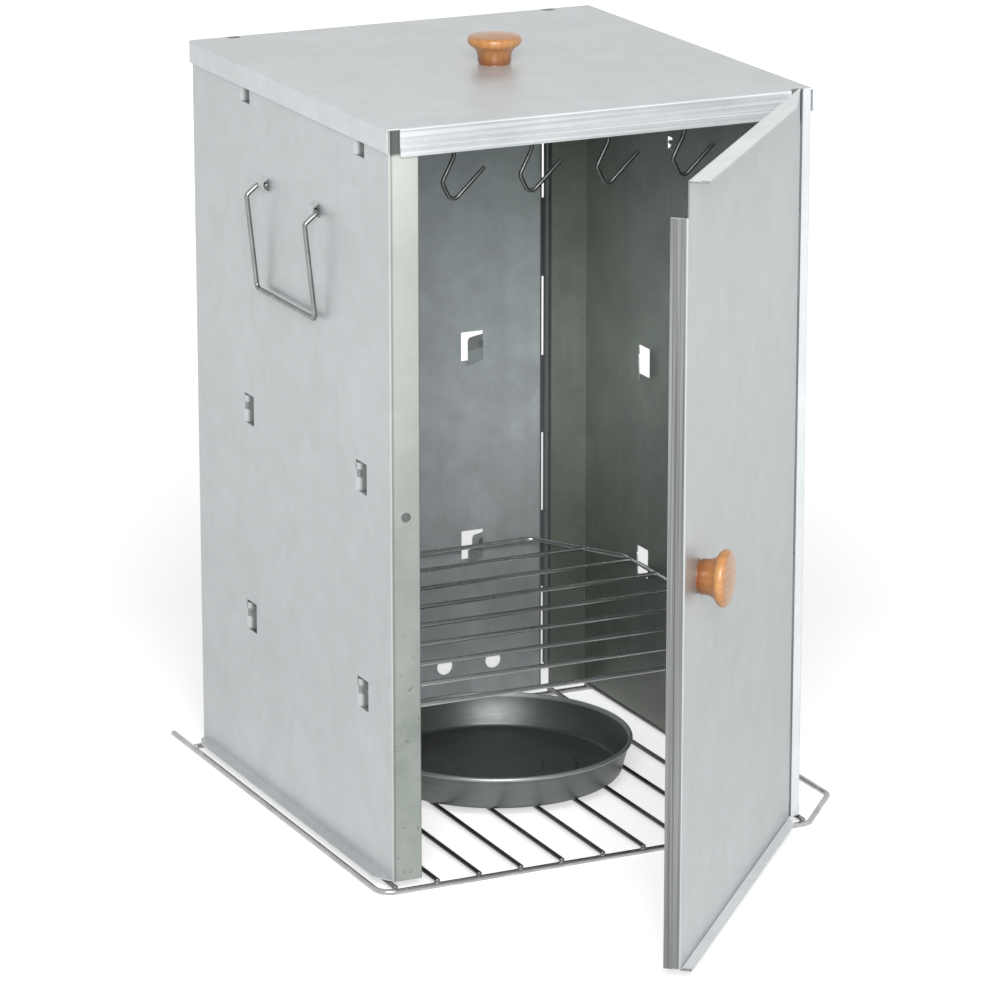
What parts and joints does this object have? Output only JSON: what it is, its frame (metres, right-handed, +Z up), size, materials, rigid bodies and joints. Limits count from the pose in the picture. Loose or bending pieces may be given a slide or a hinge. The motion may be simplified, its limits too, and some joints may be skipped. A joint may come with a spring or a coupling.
{
  "type": "folding smoker",
  "caption": "Folding sheet-steel food smoker with hinged door, lift-off lid, wire shelf, hanging hooks, drip pan and wire carrying rack.",
  "frame": {"origin": "on the floor, under the centre of the housing", "axes": "+Z up, -Y towards the door side, +X towards the door's hinge and the rack's grip"},
  "size_m": [0.3293, 0.5349, 0.4801],
  "materials": {
    "galvanised_sheet": "galvanised, satin",
    "bright_wire": "bright drawn wire",
    "beech": "varnished beech",
    "dark_coating": "dark non-stick coating",
    "zinc_fastener": "zinc plated"
  },
  "bodies": {
    "rack": {"rack_ring": "bright_wire", "rack_bars": "bright_wire"},
    "pan": {"drip_pan": "dark_coating"},
    "housing": {"left_wall": "galvanised_sheet", "right_wall": "galvanised_sheet", "back_wall": "galvanised_sheet", "left_hinge_pin": "bright_wire", "right_hinge_pin": "bright_wire", "door_hinge_pin": "bright_wire"},
    "door": {"door_panel": "galvanised_sheet", "door_knob": "beech", "door_knob_stud": "zinc_fastener", "door_knob_nut": "zinc_fastener"},
    "lid": {"lid_panel": "galvanised_sheet", "lid_knob": "beech", "lid_knob_stud": "zinc_fastener", "lid_knob_nut": "zinc_fastener"},
    "shelf": {"shelf_frame": "bright_wire", "shelf_bars": "bright_wire"},
    "front_rod": {"front_rod": "bright_wire"},
    "rear_rod": {"rear_rod": "bright_wire"},
    "left_handle": {"left_handle": "bright_wire"},
    "right_handle": {"right_handle": "bright_wire"},
    "hook_1": {"hook_1": "bright_wire"},
    "hook_2": {"hook_2": "bright_wire"},
    "hook_3": {"hook_3": "bright_wire"},
    "hook_4": {"hook_4": "bright_wire"}
  },
  "joints": [
    {"name": "housing_lift", "type": "slide", "parent": "rack", "child": "housing", "axis": [0, 0, 1], "range_m": [0, 0.1]},
    {"name": "pan_lift", "type": "slide", "parent": "rack", "child": "pan", "axis": [0, 0, 1], "range_m": [0, 0.07]},
    {"name": "door_swing", "type": "hinge", "parent": "housing", "child": "door", "pos_m": [0.127, -0.14955, 0.23], "axis": [0, 0, 1], "range_deg": [-48, 87]},
    {"name": "lid_lift", "type": "slide", "parent": "housing", "child": "lid", "axis": [0, 0, 1], "range_m": [0, 0.1]},
    {"name": "shelf_lift", "type": "slide", "parent": "housing", "child": "shelf", "axis": [0, 0, 1], "range_m": [0, 0.115]},
    {"name": "front_rod_lift", "type": "slide", "parent": "housing", "child": "front_rod", "axis": [0, 0, 1], "range_m": [0, 0.006]},
    {"name": "rear_rod_lift", "type": "slide", "parent": "housing", "child": "rear_rod", "axis": [0, 0, 1], "range_m": [0, 0.006]},
    {"name": "left_handle_swing", "type": "hinge", "parent": "housing", "child": "left_handle", "pos_m": [-0.1387, -0.0065, 0.3938], "axis": [0, 1, 0], "range_deg": [0, 105]},
    {"name": "right_handle_swing", "type": "hinge", "parent": "housing", "child": "right_handle", "pos_m": [0.1387, -0.0065, 0.3938], "axis": [0, -1, 0], "range_deg": [0, 105]},
    {"name": "hook_1_swing", "type": "hinge", "parent": "front_rod", "child": "hook_1", "pos_m": [-0.077, -0.106, 0.4476], "axis": [1, 0, 0], "range_deg": [-45, 45]},
    {"name": "hook_2_swing", "type": "hinge", "parent": "front_rod", "child": "hook_2", "pos_m": [-0.0267, -0.106, 0.4476], "axis": [1, 0, 0], "range_deg": [-45, 45]},
    {"name": "hook_3_swing", "type": "hinge", "parent": "front_rod", "child": "hook_3", "pos_m": [0.0236, -0.106, 0.4476], "axis": [1, 0, 0], "range_deg": [-45, 45]},
    {"name": "hook_4_swing", "type": "hinge", "parent": "front_rod", "child": "hook_4", "pos_m": [0.0739, -0.106, 0.4476], "axis": [1, 0, 0], "range_deg": [-45, 45]}
  ]
}
